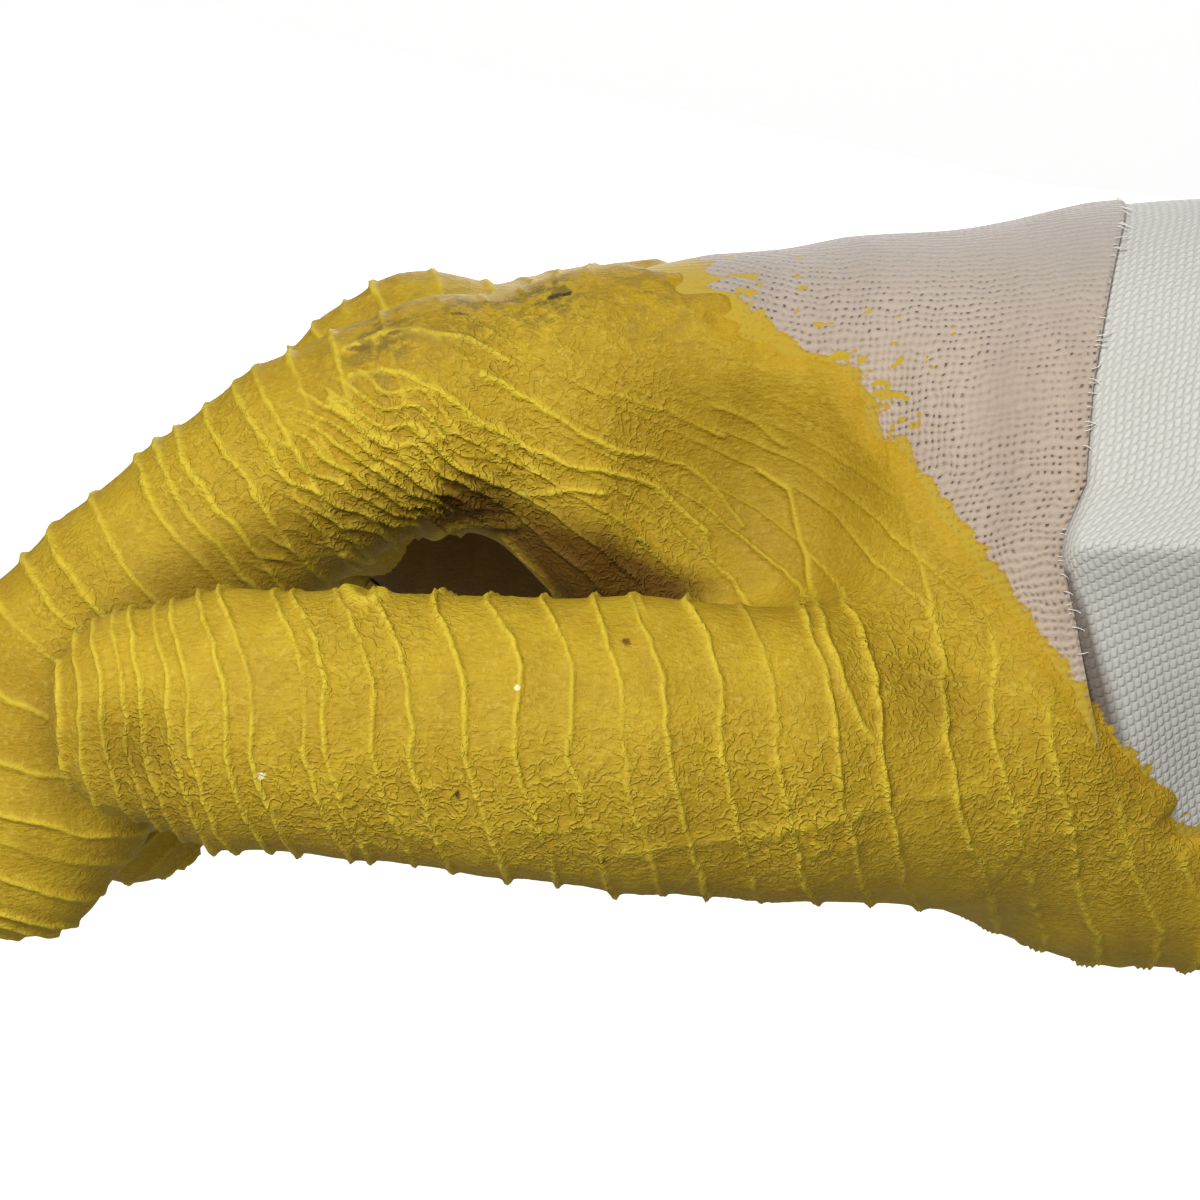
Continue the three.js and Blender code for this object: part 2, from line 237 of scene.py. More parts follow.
def digit_parts(points, name):
    """A digit's distance, the same with three times the way behind its first section added, and
    the same again cut off a little way ahead of that section, so that only the root is left."""
    sections = np.array(DIGITS[name][0], float)
    way = sections[1, :3] - sections[0, :3]
    ahead = (points - sections[0, :3]) @ (way / np.linalg.norm(way))
    digit = form_distance(points, sections, 1.2)
    return digit, digit + 3 * np.maximum(-ahead, 0), np.maximum(digit, ahead - 5)


def digit_field(name):
    """For a digit: the distance to it blended with the trunk, with the hollows pressed in, how
    far its skin may reach, and how much nearer it is than the trunk."""

    def field(points):
        own, owned, _ = digit_parts(points, name)
        trunk = trunk_distance(points)
        whole = soft_min(own, trunk, DIGITS[name][1]) + hollow_depth(points)
        return whole, own - 9, trunk - owned

    return field


def trunk_field(points):
    """For the trunk: the distance to the whole hand, how far the trunk's skin may reach, which
    takes in the digits' roots, and how much nearer the trunk is than any digit."""
    own = trunk_distance(points)
    parts = [(digit_parts(points, name), blend) for name, (_, blend) in DIGITS.items()]
    whole = np.min([soft_min(digit, own, blend) for (digit, _, _), blend in parts], axis=0)
    reach = np.minimum(own - 9, np.min([root for (_, _, root), _ in parts], axis=0))
    nearest = np.min([owned for (_, owned, _), _ in parts], axis=0)
    return whole + hollow_depth(points), reach, nearest - own


def heel_field(points):
    """For the heel of the hand, which the trunk's own rays only graze: the distance to the whole
    hand, how far the heel's skin may reach, and how much nearer the trunk is than any digit."""
    whole, _, margin = trunk_field(points)
    return whole, form_distance(points, HEEL, 6) - 6, margin


def rays(path, step, sides, tip_radius, lean=None):
    """Rays of a form: rings of directions square to its smoothed middle line, a step apart, and
    past its end rings that tilt up to the tip, which they close. The rays stand closer on the
    thumb's side, at turn = u + 0.42 sin u. With a lean, the rings lie in planes that lean along X
    by that much a millimetre of Y. Returns the rings' middles, the directions, and the distance
    run along the form."""
    path = np.array(path, float)
    gaps = np.linalg.norm(np.diff(path[:, :3], axis=0), axis=1)
    runs = np.concatenate([[0], np.cumsum(gaps)])

    def middle(run):
        return np.stack([np.interp(run, runs, path[:, axis]) for axis in range(3)], -1)

    length = runs[-1]
    straight = np.linspace(0, length, int(length / step) + 1)
    tilts = np.linspace(0, np.pi / 2, int(tip_radius * np.pi / 2 / step) + 1)[1:]
    run = np.concatenate([straight, np.full(len(tilts), length)])
    tilt = np.concatenate([np.zeros(len(straight)), tilts])[:, None, None]
    along = middle(np.minimum(run + TURN_SPREAD, length)) - middle(np.maximum(run - TURN_SPREAD, 0))
    along /= np.linalg.norm(along, axis=1, keepdims=True)
    across = np.array([0, 1, 0]) - along[:, 1:2] * along
    across /= np.linalg.norm(across, axis=1, keepdims=True)
    up = np.cross(along, across)
    wide = np.interp(run, runs, path[:, 3]) if path.shape[1] == 4 else np.ones(len(run))
    even = 2 * np.pi * np.arange(sides) / sides
    turn = even + 0.42 * np.sin(even)
    flat = (
        (wide[:, None] * np.cos(turn))[..., None] * across[:, None]
        + np.sin(turn)[:, None] * up[:, None]
    )
    if lean is not None:
        flat = flat * (0, 1, 1) + flat[..., 1:2] * (lean, 0, 0)
    flat /= np.linalg.norm(flat, axis=-1, keepdims=True)
    directions = flat * np.cos(tilt) + along[:, None] * np.sin(tilt)
    travelled = run + tilt[:, 0, 0] * tip_radius
    return middle(run)[:, None], directions, travelled


def neighbours(count, every, round_about):
    """Every so-many-th of a run of numbers, and for each number the kept ones on its two sides."""
    kept = np.arange(0, count, every)
    if not round_about and kept[-1] != count - 1:
        kept = np.append(kept, count - 1)
    before = np.searchsorted(kept, np.arange(count), side="right") - 1
    after = (before + 1) % len(kept) if round_about else np.minimum(before + 1, len(kept) - 1)
    return kept, before, after


def skin(field, path, step, sides, level, tip_radius, coarse, lean=None):
    """The surface at one level of a field, as a grid of points met by a form's rays: found by
    stepping out along every few rays, carried on from there along the rest, each from the least
    reach of the four round it, and put right by one step straight at the surface. Returns
    points, outward normals, distance run, how much nearer the form is than the others, and which
    points lie on the hand's skin and not inside it."""
    middles, directions, travelled = rays(path, step, sides, tip_radius, lean)
    rows, row_before, row_after = neighbours(len(directions), coarse[0], False)
    turns, turn_before, turn_after = neighbours(sides, coarse[1], True)

    def stepped(reach, at_middles, at_directions, count):
        for _ in range(count):
            whole, limit, _ = field(at_middles + at_directions * reach[..., None])
            reach = reach + np.clip(level - np.maximum(whole, limit), -3, 6) * 0.85
        return reach

    some = directions[rows][:, turns]
    reach = stepped(np.full(some.shape[:2], 1.0), middles[rows], some, 28)
    reach = np.minimum(reach[row_before], reach[row_after])
    reach = np.minimum(reach[:, turn_before], reach[:, turn_after])
    reach = stepped(reach, middles, directions, 9)
    points = middles + directions * reach[..., None]
    here, _, margin = field(points)
    steps = np.eye(3) * 0.15
    slope = np.stack([field(points + one)[0] - here for one in steps], -1) / 0.15
    steep = np.maximum(np.linalg.norm(slope, axis=-1, keepdims=True), 0.2)
    normals = slope / steep
    seen = (np.abs(here - level) < 1.4) & (margin > -9)
    points = points - normals * np.where(seen, here - level, 0)[..., None] / steep
    return points, normals, travelled, margin, seen


def rooted(sections):
    """A digit's middle line, begun 5 mm behind its first section."""
    path = np.array(sections, float)[:, :3]
    back = path[0] - path[1]
    return np.concatenate([path[:1] + 5 * back / np.linalg.norm(back), path])


def sunk(margin):
    """How far a skin is drawn in where another form is nearer: 0.16 of the margin, 1.1 at most."""
    return np.minimum(0.16 * np.maximum(-margin, 0), 1.1)


def lengthwise(points):
    """Distance along each column of a grid in millimetres, from its first point."""
    hops = np.linalg.norm(np.diff(points, axis=0), axis=-1)
    return np.concatenate([np.zeros((1, points.shape[1])), np.cumsum(hops, 0)])


def around(points):
    """Distance along each ring of a grid in millimetres, counted from the top of the hand, which
    is four fifths of the way round, and the distance at which the ring closes."""
    hops = np.linalg.norm(np.roll(points, -1, 1) - points, axis=-1)
    run = np.cumsum(hops, 1) - hops
    top = run[:, points.shape[1] * 4 // 5]
    return run - top[:, None], hops.sum(1) - top


def cloud(points, size, seed):
    """Smooth random values between -1 and 1: random numbers at the corners of cubes of the given
    size, each weighted by the point's eased closeness to it along the three axes."""
    table = np.random.default_rng(seed).uniform(-1, 1, (32, 32, 32))
    cell = points / size
    corner = np.floor(cell).astype(int)
    share = cell - corner
    share = share * share * (3 - 2 * share)
    total = 0
    for dx in (0, 1):
        for dy in (0, 1):
            for dz in (0, 1):
                here = (corner + (dx, dy, dz)) % 32
                weight = np.abs(1 - dx - share[..., 0]) * np.abs(1 - dy - share[..., 1])
                weight = weight * np.abs(1 - dz - share[..., 2])
                total = total + weight * table[here[..., 0], here[..., 1], here[..., 2]]
    return total


def placed(name, data):
    """An object made of a mesh, lamp or camera and put in the scene."""
    item = bpy.data.objects.new(name, data)
    bpy.context.scene.collection.objects.link(item)
    return item


def cloth_grid(name, points, keep, flat=None, values=None, pole=False, inside_out=False):
    """A mesh of the kept squares of a grid that closes round its second side. A grid with a pole
    ends in one point. flat is each point's place on the cloth in millimetres, kept as a UV map,
    and values are numbers kept on the points."""
    count, sides = points.shape[:2]
    number = np.arange(count * sides).reshape(count, sides)
    if pole:
        number[-1] = number[-1, 0]
    after = np.roll(number, -1, 1)
    faces = np.stack([number[:-1], after[:-1], after[1:], number[1:]], -1)
    if inside_out:
        faces = faces[..., ::-1]
    wide = None
    if flat is not None:
        run, round_run, round_length = flat
        first = np.stack([run, round_run], -1)
        second = np.roll(first, -1, 1)
        second[:, -1, 1] = round_length
        wide = np.stack([first[:-1], second[:-1], second[1:], first[1:]], -2)
        if inside_out:
            wide = wide[..., ::-1, :]
    squares = faces[:-1][keep[:-1]] if pole else faces[keep]
    corners = [squares.reshape(-1)]
    sizes = [np.full(len(squares), 4)]
    places = [] if wide is None else [(wide[:-1][keep[:-1]] if pole else wide[keep]).reshape(-1, 2)]
    if pole:
        pick = [1, 2, 3] if inside_out else [0, 1, 2]
        corners.append(faces[-1][keep[-1]][:, pick].reshape(-1))
        sizes.append(np.full(int(keep[-1].sum()), 3))
        if wide is not None:
            places.append(wide[-1][keep[-1]][:, pick].reshape(-1, 2))
    corners = np.concatenate(corners)
    sizes = np.concatenate(sizes)
    used = np.zeros(count * sides, bool)
    used[corners] = True
    fresh = np.cumsum(used) - 1
    mesh = bpy.data.meshes.new(name)
    mesh.vertices.add(int(used.sum()))
    mesh.vertices.foreach_set("co", (points.reshape(-1, 3)[used] * 0.001).ravel())
    mesh.loops.add(len(corners))
    mesh.loops.foreach_set("vertex_index", fresh[corners])
    mesh.polygons.add(len(sizes))
    mesh.polygons.foreach_set("loop_start", np.cumsum(sizes) - sizes)
    mesh.polygons.foreach_set("use_smooth", np.ones(len(sizes), bool))
    mesh.update(calc_edges=True)
    if wide is not None:
        layer = mesh.uv_layers.new(name="cloth_mm")
        layer.data.foreach_set("uv", np.concatenate(places).ravel())
    for key, numbers in (values or {}).items():
        attribute = mesh.attributes.new(key, "FLOAT", "POINT")
        attribute.data.foreach_set("value", numbers.reshape(-1)[used].astype(np.float32))
    mesh.validate()
    return placed(name, mesh)


# How ragged the edge of the rubber is at each height: z, the size of its jags in millimetres.
RAGGED = [(-50, 3), (-30, 3), (-20, 1.4), (-8, 0.7), (18, 0.6), (24, 2.6), (30, 3.6), (48, 3)]
# The two planes that the glove was dipped to: x at z = 0, slope.
DIP_LINES = [(-73.3, -0.75), (-47, -1.62)]


def splashed(points):
    """How far the rubber was splashed past its edge: 0 to 1 with the size of its jags."""
    return ease(at_height(points, RAGGED), 0.7, 3)


def dipped(points):
    """Distance inside the dip line in millimetres, less where the knit shows bare: the least of
    the distances to two slanting planes x = at + slope z, with jags of clouds along the edge."""
    x, z = points[..., 0], points[..., 2]
    plain = np.min([(at + slope * z - x) / np.hypot(1, slope) for at, slope in DIP_LINES], axis=0)
    rough = 0.75 * cloud(points * (0.45, 1, 1), 5.5, 31)
    rough = rough + 0.5 * cloud(points * (0.5, 1, 1), 2.2, 32)
    return plain + at_height(points, RAGGED) * rough


def drape(points):
    """Slow unevenness of worn cloth in millimetres: two sizes of cloud, a broad and a finer."""
    return 0.45 * cloud(points, 21, 11) + 0.22 * cloud(points, 8, 12)


def linear(code):
    """A colour as light, from its sRGB hex code: ((c + 0.055) / 1.055)^2.4 for each part."""
    parts = [int(code[i : i + 2], 16) / 255 for i in (1, 3, 5)]
    light = [((c + 0.055) / 1.055) ** 2.4 if c > 0.04045 else c / 12.92 for c in parts]
    return (*light, 1)


def set_up(node, *values, **more):
    """Sets a node's inputs, in their order or by name, and its settings. Names of inputs are
    written with _ for a space, and a value that is another node's output is linked."""
    for key, value in [*enumerate(values), *more.items()]:
        name = key.replace("_", " ") if isinstance(key, str) else key
        if isinstance(name, str) and name not in node.inputs:
            setattr(node, key, value)
        elif isinstance(value, bpy.types.NodeSocket):
            node.id_data.links.new(value, node.inputs[name])
        elif value is not None:
            node.inputs[name].default_value = value


def node_adder(tree):
    """A function that adds a node to a tree: its kind with, after a space, its operation or way
    of easing, then its inputs and settings. It gives back one output of the node, the first."""

    def add(kind, *values, out=0, **more):
        kind, _, choice = kind.partition(" ")
        node = tree.nodes.new("ShaderNode" + kind)
        if choice:
            setattr(node, "interpolation_type" if kind == "MapRange" else "operation", choice)
        set_up(node, *values, **more)
        return node.outputs[out]

    return add


def new_material(name):
    """A node material, with its principled shader and the function that adds a node to it."""
    material = bpy.data.materials.new(name)
    material.use_nodes = True
    tree = material.node_tree
    return material, tree.nodes["Principled BSDF"], node_adder(tree)


def swayed(add, place, cloth, scale, detail, reach):
    """A place on the cloth, moved about by a cloudy vector of so many millimetres."""
    about = add("TexNoise", place, None, scale, detail, out="Color")
    about = add("VectorMath SUBTRACT", about, (0.5, 0.5, 0.5))
    return add("VectorMath MULTIPLY_ADD", about, (reach, reach, reach), cloth)


def latex_over(add, cloth_colour, wet):
    """Cloth colour with rubber soaked into it by a share: thin rubber is a deeper orange."""
    thick = add("MapRange SMOOTHSTEP", wet, 0.35, 1.0)
    film = add("MixRGB", thick, linear("#9C7A12"), linear("#A3881B"))
    return add("MixRGB", add("MapRange SMOOTHSTEP", wet, 0.3, 0.55), cloth_colour, film)


def wet_share(add, place):
    """Share of rubber in the cloth: the distance inside the dip line with fine jags and spots."""
    inside = add("Attribute", attribute_name="dipped", out="Fac")
    splash = add("Attribute", attribute_name="splashed", out="Fac")
    stretched = add("Mapping", place, Scale=(0.6, 1, 1))
    jags = add("Math SUBTRACT", add("TexNoise", stretched, None, 620, 3, 0.65), 0.5)
    spots = add("Math SUBTRACT", add("TexNoise", stretched, None, 560, 1.5, 0.5), 0.555)
    spots = add("Math MULTIPLY", add("Math MULTIPLY", spots, 40.0), splash)
    reach = add("Math MULTIPLY_ADD", jags, 4.0, inside)
    near = add("Math SUBTRACT", spots, add("Math MULTIPLY", add("Math ABSOLUTE", inside), 0.6))
    reach = add("Math MAXIMUM", reach, add("Math SUBTRACT", near, 0.8))
    return add("MapRange SMOOTHSTEP", reach, -0.8, 1.2)


# cotton jersey: rows of small dark eyes 1 mm apart, each stitch a pair of slanting legs
STITCH_LONG, STITCH_WIDE = 0.92, 1.04
jersey_knit, shader, add = new_material("cotton jersey")
place = add("TexCoord", out="Object")
cloth = add("UVMap", uv_map="cloth_mm")
bent = swayed(add, place, cloth, 380, 1, 1.5)
course = add("Math MULTIPLY", add("SeparateXYZ", bent), 2 * np.pi / STITCH_LONG)
wale = add("Math MULTIPLY", add("SeparateXYZ", bent, out="Y"), 2 * np.pi / STITCH_WIDE)
row = add("Math COSINE", wale)
stitch = add("Math COSINE", add("Math MULTIPLY_ADD", row, 0.9, course))
eye = add("MapRange SMOOTHSTEP", stitch, 0.2, 0.9)
eye = add("Math MULTIPLY", eye, add("MapRange SMOOTHSTEP", row, 0.4, 0.95))
patchy = add("TexNoise", place, None, 90, 2, 0.5)
eye = add("Math MULTIPLY", eye, add("MapRange SMOOTHSTEP", patchy, 0.25, 0.62))
per_stitch = (1 / STITCH_LONG, 1 / STITCH_WIDE, 1)
stitch_number = add("VectorMath MULTIPLY_ADD", bent, per_stitch, (0.5, 0.5, 0.5))
stitch_number = add("VectorMath FLOOR", stitch_number)
chance = add("TexWhiteNoise", stitch_number)
eye = add("Math MULTIPLY", eye, add("Math MULTIPLY_ADD", chance, 1.3, 0.1))
grey = add("Attribute", attribute_name="grey", out="Fac")
eye = add("Math MULTIPLY", eye, add("MapRange SMOOTHSTEP", grey, 0.75, 0.25))
fuzz = add("TexNoise", place, None, 5200, 1, 0.7)
fibre = add("TexNoise", place, None, 1700, 2, 0.6)
pink = add("MixRGB", add("TexNoise", place, None, 38, 3, 0.5), linear("#A2917F"), linear("#B3A18E"))
banded = add("Mapping", place, Scale=(1, 0.25, 0.25))
shaded = add("MapRange SMOOTHSTEP", add("TexNoise", banded, None, 150, 2, 0.5), 0.3, 0.7)
pink = add("MixRGB", add("Math MULTIPLY", shaded, 0.35), pink, linear("#7E7063"))
pink = add("MixRGB", grey, pink, linear("#9C958D"))
shadow = add("MixRGB", 0.12, pink, linear("#8A7160"))
pink = add("MixRGB", add("MapRange SMOOTHSTEP", fuzz, 0.3, 0.75), shadow, pink)
groove = add("Math MULTIPLY", add("MapRange SMOOTHSTEP", row, -0.1, 0.9), 0.16)
pink = add("MixRGB", groove, pink, linear("#6F5D4F"))
knit_colour = add("MixRGB", add("Math MULTIPLY", eye, 1.0, use_clamp=True), pink, linear("#5E483B"))
wet = wet_share(add, place)
relief = add("Math MULTIPLY", eye, -1.0)
relief = add("Math MULTIPLY_ADD", add("Math COSINE", add("Math ADD", wale, np.pi)), 0.25, relief)
relief = add("Math MULTIPLY_ADD", stitch, -0.16, relief)
relief = add("Math MULTIPLY_ADD", fibre, 0.45, relief)
relief = add("Math MULTIPLY", relief, add("Math MULTIPLY_ADD", wet, -0.65, 1.0))
dimple = add("Bump", Height=relief, Distance=0.0003, Strength=0.9)
set_up(shader, latex_over(add, knit_colour, wet), Normal=dimple, Roughness=0.93)
set_up(shader, Sheen_Weight=0.25, Sheen_Roughness=0.6, Specular_IOR_Level=0.2)

path = [(SEAM_AT, 0, 1, 0.8)] + [row for row in SPINE if row[0] < -70]
points, normals, _, margin, seen = skin(trunk_field, path, 0.7, 330, 0, 20, (4, 4), SEAM_LEAN)
rubber = dipped(points)
before_seam = -(points[..., 0] - SEAM_LEAN * points[..., 1] - SEAM_AT)
lift = -1.15 + 0.25 * drape(points) - 0.1 * ease(-before_seam, -3, 0)
bare = (rubber < 7) & seen
sheet = points + normals * (lift - sunk(margin))[..., None]
sheet[..., 0] += bowed(sheet) * (1 - ease(before_seam, 4, 24))
rubber = dipped(sheet)
turned_in = sheet[:1] - normals[:1] * 0.6
sheet = np.concatenate([turned_in, sheet])
rubber = np.concatenate([rubber[:1], rubber])
bare = np.concatenate([bare[:1], bare])
run = lengthwise(sheet)
round_run, round_length = around(sheet)
whole = (bare[:-1] & bare[1:]) & np.roll(bare[:-1] & bare[1:], -1, 1)
grey_share = ease(sheet[..., 2], 26, 46) * 0.7 + 0.15 * cloud(sheet, 16, 13)
jersey_glove = cloth_grid(
    "jersey_glove",
    sheet,
    whole,
    flat=(run, round_run, round_length),
    values={
        "dipped": rubber,
        "splashed": splashed(sheet),
        "grey": np.clip(grey_share, 0, 1),
    },
)
jersey_glove.data.materials.append(jersey_knit)
seam_edge, seam_out, seam_dipped = sheet[1], normals[0], rubber[1]
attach(jersey_glove, "root")
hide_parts("jersey_liner")

# The inside of the glove: the back of the same knit, seen through the cuff's mouth.
# Its parts: name, field, middle line, radius at the tip and the grid's sides.
lining_parts = [("palm", trunk_field, path, 20, 96)]
lining_parts += [("heel", heel_field, HEEL[::-1], 14, 48)]
lining_parts += [(name, digit_field(name), DIGITS[name][0], 10, 32) for name in DIGITS]
for name, field, path, tip_radius, sides in lining_parts:
    lean = SEAM_LEAN if name == "palm" else None
    path = path if name == "palm" else rooted(path)
    points, normals, _, margin, inner = skin(
        field, path, 2.2, sides, -JERSEY_BACK, tip_radius, (1, 1), lean
    )
    points = points + normals * sunk(margin)[..., None]
    whole = inner[:-1] & inner[1:]
    whole &= np.roll(whole, -1, 1)
    run = lengthwise(points)
    round_run, round_length = around(points)
    lining = cloth_grid(
        f"lining_{name}",
        points,
        whole,
        flat=(run, round_run, round_length),
        values={"dipped": np.full(run.shape, -30), "grey": np.full(run.shape, 0.5)},
        pole=True,
        inside_out=True,
    )
    lining.data.materials.append(jersey_knit)
    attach(lining, "root")
    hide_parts("jersey_liner")

# The safety cuff. A band of heavy off-white cotton twill, its front edge tucked into the jersey
# and sewn down, creased sharply along both sides, and hemmed at the mouth.
# Its thickness, how deep its face lies under the outer form, the same where it is tucked in, and
# its mouth, given as the seam is.
CANVAS = 1.3
CUFF_TOP = 2.2
CUFF_TUCKED = 3.7
MOUTH_AT, MOUTH_LEAN = 0, 0.1
# Its profile: distance past the seam or back from the mouth, and depth under the outer form.
CUFF_ROWS = [
    (SEAM_AT - 8, SEAM_LEAN, CUFF_TUCKED),
    (SEAM_AT - 2.6, SEAM_LEAN, CUFF_TUCKED - 0.3),
    (SEAM_AT - 1.2, SEAM_LEAN, CUFF_TOP - 0.3),
    (SEAM_AT + 6, SEAM_LEAN, CUFF_TOP - 0.3),
    (SEAM_AT + 16, SEAM_LEAN, CUFF_TOP),
    (SEAM_AT + 30, SEAM_LEAN, CUFF_TOP),
    (MOUTH_AT - 18, MOUTH_LEAN, CUFF_TOP),
    (MOUTH_AT - 9, MOUTH_LEAN, CUFF_TOP),
    (MOUTH_AT - 8, MOUTH_LEAN, CUFF_TOP - 0.6),
    (MOUTH_AT - 1, MOUTH_LEAN, CUFF_TOP - 0.6),
    (MOUTH_AT, MOUTH_LEAN, CUFF_TOP - 0.2),
]
# The folds: angle about X, height, width and how far the canvas falls in below.
CREASES = [(166, 4.4, 12, 5), (0, 4, 12, 1.5)]


def creased(angle, past_by):
    """How far the folds stand out at an angle round the cuff: height exp(-angle / width), half as
    wide below a fold as above, begun within 2 mm of the seam, less the fall below it, eased in
    over 50 degrees and out by 95, begun within 12 mm of the seam."""
    quick, slow = ease(past_by, -0.5, 2), ease(past_by, 0, 12)
    out = 0
    for at, height, width, fall in CREASES:
        past = (angle - at + 180) % 360 - 180
        below = np.abs(np.where(np.sign(past) == np.sign(at - 90), past, 0))
        steep = np.where(below > 0, 0.5, 1)
        out = out + quick * height * np.exp(-np.abs(past) / width / steep)
        out = out - slow * fall * ease(below, 0, 50) * (1 - ease(below, 50, 95))
    return out


def cuff_skin(rows, depth, sides):
    """Rings of the cuff's skin: from a middle at x = at, rays lean with the seam or the mouth to
    the wrist form at the row's depth, and the folds are added."""
    rows = np.array(rows, float)
    turn = 2 * np.pi * np.arange(sides) / sides
    y, z = np.cos(turn), np.sin(turn)
    directions = np.stack([rows[:, 1:2] * y, y + rows[:, :1] * 0, z + rows[:, :1] * 0], -1)
    middles = np.stack([rows[:, 0], rows[:, 0] * 0, rows[:, 0] * 0], -1)[:, None]
    level = -(rows[:, 2:] + depth)
    reach = np.full(directions.shape[:2], 20.0)
    for _ in range(30):
        gap = trunk_distance(middles + directions * reach[..., None]) - level
        reach = reach - 0.85 * gap
    reach = reach + creased(np.degrees(turn), rows[:, :1] - SEAM_AT)
    return middles + directions * reach[..., None], directions


def finer(rows, step):
    """Rows between the given rows, no further apart than a step along x."""
    rows = np.array(rows, float)
    hops = np.hypot(np.diff(rows[:, 0]), np.diff(rows[:, 2]))
    runs = np.concatenate([[0], np.cumsum(hops)])
    run = np.linspace(0, runs[-1], int(runs[-1] / step) + 1)
    return np.stack([np.interp(run, runs, rows[:, k]) for k in range(3)], -1)


cuff_rows = finer(CUFF_ROWS, 0.9)
outside, directions = cuff_skin(cuff_rows, 0, 320)
within, _ = cuff_skin(cuff_rows, CANVAS, 320)
uneven = 0.5 * drape(outside) * ease(cuff_rows[:, 0], SEAM_AT, SEAM_AT + 10)[:, None]
outside = outside + directions * uneven[..., None]
within = within + directions * uneven[..., None]
front = 0.5 * (outside[:1] + within[:1])
mouth = 0.5 * (outside[-1:] + within[-1:]) + np.array([0.5, 0, 0])
wall = np.concatenate([front, outside, mouth, within[::-1]])
wall = np.concatenate([wall, wall[:1]])
skin_run = lengthwise(wall)
round_run, round_length = around(np.broadcast_to(wall[40:41], wall.shape))
wall[..., 0] += bowed(wall) * (1 - ease(wall[..., 0] - SEAM_AT, 10, 40))
# How wide the painted shadow strip along the seam is at each height: the shadow under the jersey's
# lifted edge, painted dark on the canvas.
SEAM_SHADOW_STRIP = [(-40, 3.4), (-20, 3.2), (0, 2.2), (4, 1.5), (7, 0.4), (50, 0.25)]
dark = past_seam(wall)
strip = at_height(wall, SEAM_SHADOW_STRIP)
# Painted shade: a brownish darkening of the canvas's lower face below the fold on the thumb's side,
# where the fold turns down from the light.
painted_fold_shade = 0.17 * ease(8 - wall[..., 2], 0, 2.5) * ease(-wall[..., 1], 0, 20)
shade = np.maximum(1 - ease(dark, strip * 0.5, strip * 1.2), painted_fold_shade)

# cotton canvas: slanting floats of a heavy twill about 1 mm long, cream threads over grey gaps
FLOAT_APART, FLOAT_LONG = 0.95, 1.2
canvas_twill, shader, add = new_material("cotton canvas")
place = add("TexCoord", out="Object")
cloth = add("UVMap", uv_map="cloth_mm")
bent = swayed(add, place, cloth, 160, 2, 0.8)
weft = add("Math MULTIPLY", add("SeparateXYZ", bent), 1 / FLOAT_APART)
warp = add("Math MULTIPLY", add("SeparateXYZ", bent, out="Y"), 1 / FLOAT_LONG)
column = add("Math FLOOR", weft)
shifted = add("Math MULTIPLY_ADD", column, 0.36, warp)
across_thread = add("Math SUBTRACT", add("Math FRACT", weft), 0.5)
along_thread = add("Math SUBTRACT", add("Math FRACT", shifted), 0.5)
slanted = add("Math MULTIPLY_ADD", along_thread, 0.38, across_thread)
float_width = add("Math MULTIPLY", add("Math ABSOLUTE", slanted), 2.3)
float_length = add("Math MULTIPLY", add("Math ABSOLUTE", along_thread), 1.9)
edge = add("Math ADD", add("Math POWER", float_width, 2.0), add("Math POWER", float_length, 4.0))
thread = add("Math SUBTRACT", 1.0, add("MapRange SMOOTHSTEP", edge, 0.0, 1.3))
fibre = add("TexNoise", place, None, 2600, 1.5, 0.65)
broad = add("TexNoise", place, None, 30, 3, 0.5)
cream = add("MixRGB", broad, linear("#B0AFA7"), linear("#C2C2BC"))
shadow = add("MixRGB", 0.2, cream, linear("#8E8B82"))
cream = add("MixRGB", add("MapRange SMOOTHSTEP", fibre, 0.35, 0.7), shadow, cream)
woven = add("MixRGB", add("Math MULTIPLY_ADD", thread, 0.62, 0.38), linear("#A6A49B"), cream)
# Painted shadow and shade: the 'shade' share darkens the canvas towards dark brown along the seam's
# strip and below the fold.
strip_share = add("Attribute", attribute_name="shade", out="Fac")
woven = add("MixRGB", add("Math MULTIPLY", strip_share, 0.85), woven, linear("#4E3E30"))
wet = wet_share(add, place)
height = add("Math MULTIPLY_ADD", fibre, 0.3, thread)
height = add("Math MULTIPLY", height, add("Math MULTIPLY_ADD", wet, -0.6, 1.0))
dimple = add("Bump", Height=height, Distance=0.00028, Strength=0.6)
set_up(shader, latex_over(add, woven, wet), Normal=dimple, Roughness=0.9)
set_up(shader, Sheen_Weight=0.15, Specular_IOR_Level=0.2)

soaked = dipped(wall)
soaked[len(outside) + 1 :] = -30
everywhere = np.ones((len(wall) - 1, wall.shape[1]), bool)
cuff = cloth_grid(
    "canvas_band",
    wall,
    everywhere,
    flat=(skin_run, round_run, round_length),
    values={"dipped": soaked, "splashed": splashed(wall), "shade": shade},
)
cuff.data.materials.append(canvas_twill)
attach(cuff, "root")
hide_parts("canvas_cuff")


